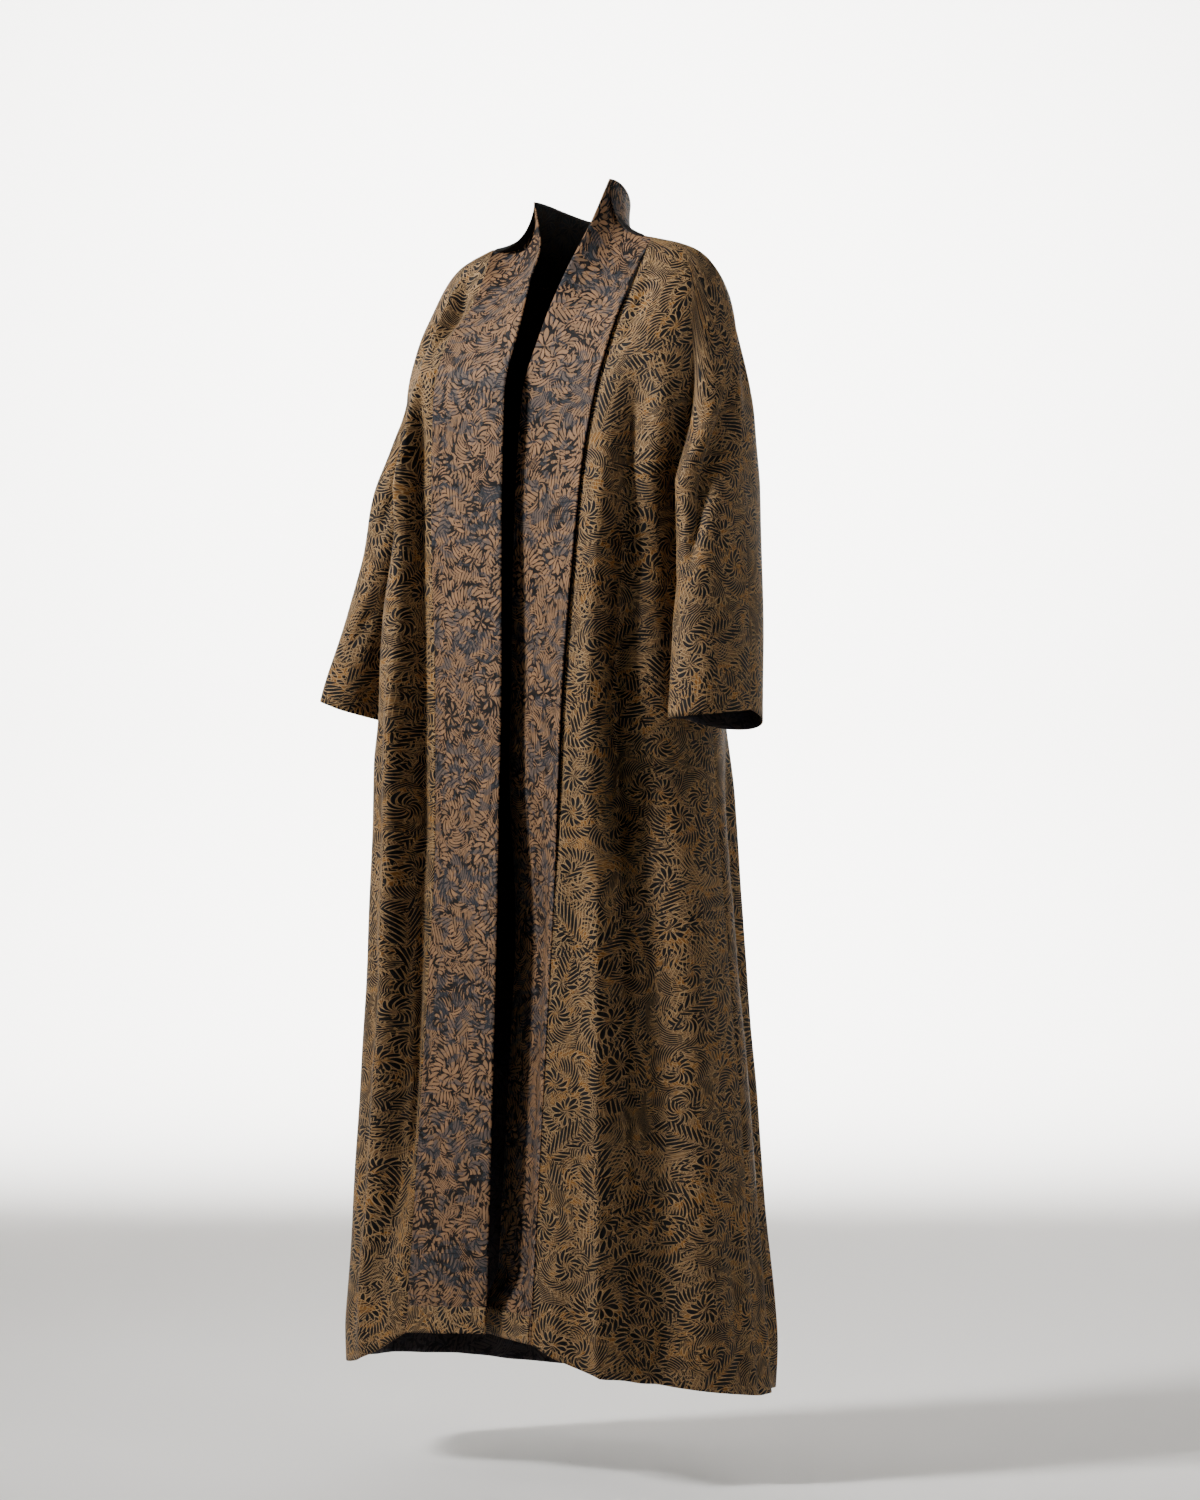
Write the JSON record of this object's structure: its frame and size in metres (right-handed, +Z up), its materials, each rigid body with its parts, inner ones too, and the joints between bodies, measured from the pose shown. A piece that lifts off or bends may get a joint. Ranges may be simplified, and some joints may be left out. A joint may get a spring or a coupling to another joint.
{
  "type": "open front abaya",
  "caption": "Full-length open-front abaya in patterned jacquard cloth, with wide kimono sleeves and a long shawl band, hollow, in its worn shape.",
  "frame": {"origin": "the middle of the shoulder line, at the height of the side of the neck, where the garment hangs from its wearer", "axes": "+Z up, the front faces -Y, and +X is the wearer's left"},
  "size_m": [0.6643, 0.3544, 1.5292],
  "materials": {
    "face_cloth": "thick jacquard, olive brown and ochre with dark leaves, slight sheen",
    "reverse_cloth": "the reverse of the jacquard, black with tan leaves and slate patches, slight sheen"
  },
  "bodies": {
    "root": {"front_left": "face_cloth", "front_right": "face_cloth", "back": "face_cloth", "band_left": "reverse_cloth", "band_right": "reverse_cloth", "turnup_left": "face_cloth", "turnup_right": "face_cloth"}
  },
  "joints": []
}
